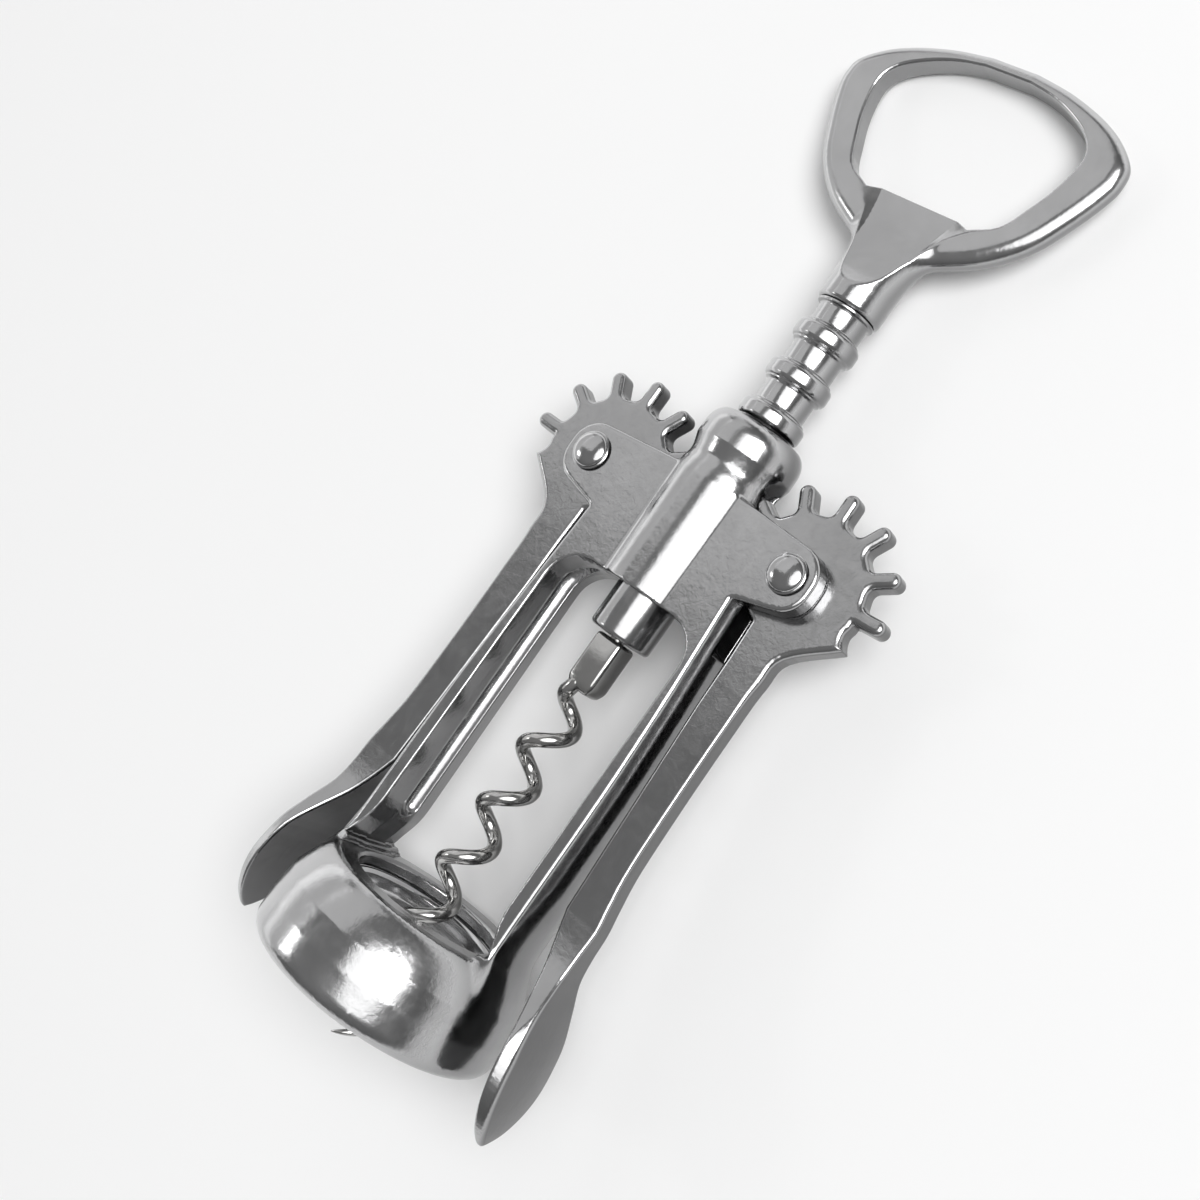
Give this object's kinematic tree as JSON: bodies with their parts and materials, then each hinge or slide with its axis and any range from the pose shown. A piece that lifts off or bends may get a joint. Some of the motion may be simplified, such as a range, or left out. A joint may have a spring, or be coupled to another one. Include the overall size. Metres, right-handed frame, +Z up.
{
  "type": "wing corkscrew",
  "caption": "Two-lever wing corkscrew: a worm on a round rack is pulled by toothed levers in a frame with a bell; the handle is a loop that lifts bottle caps.",
  "frame": {"origin": "middle of the small flat at the bottom of the bell, on which the lying tool rests", "axes": "+Z up from the table, +X along the tool from the bell towards the handle, +Y towards the left lever"},
  "size_m": [0.1737, 0.0688, 0.0419],
  "materials": {
    "cast_chrome": "soft satin chrome on a zinc casting",
    "ring_chrome": "bright chrome",
    "rivet_chrome": "polished chrome",
    "rack_chrome": "polished chrome",
    "rod_steel": "plain steel",
    "worm_steel": "polished steel",
    "lever_chrome": "soft satin chrome",
    "handle_chrome": "soft satin chrome"
  },
  "bodies": {
    "frame": {"frame_casting": "cast_chrome", "throat_ring": "ring_chrome", "left_pivot_rivet": "rivet_chrome", "right_pivot_rivet": "rivet_chrome"},
    "rack": {"rack_sleeve": "rack_chrome"},
    "spindle": {"handle_opener": "handle_chrome", "spindle_rod": "rod_steel", "worm": "worm_steel"},
    "left_lever": {"left_lever": "lever_chrome"},
    "right_lever": {"right_lever": "lever_chrome"}
  },
  "joints": [
    {"name": "rack_slide", "type": "slide", "parent": "frame", "child": "rack", "axis": [-0.9932, 0, 0.1166], "range_m": [0, 0.0294]},
    {"name": "spindle_turn", "type": "hinge", "parent": "rack", "child": "spindle", "pos_m": [0.07884, 0, 0.01149], "axis": [0.9932, 0, -0.1166], "continuous": true},
    {"name": "left_lever_pivot", "type": "hinge", "parent": "frame", "child": "left_lever", "pos_m": [0.07884, 0.01943, 0.01149], "axis": [0.1166, 0, 0.9932], "range_deg": [-122.5, 0]},
    {"name": "right_lever_pivot", "type": "hinge", "parent": "frame", "child": "right_lever", "pos_m": [0.07884, -0.01943, 0.01149], "axis": [0.1166, 0, 0.9932], "range_deg": [0, 122.5]}
  ],
  "couplings": [
    {"joint": "left_lever_pivot", "follows": "rack_slide", "rad_per_m": -72.464},
    {"joint": "right_lever_pivot", "follows": "rack_slide", "rad_per_m": 72.464}
  ]
}
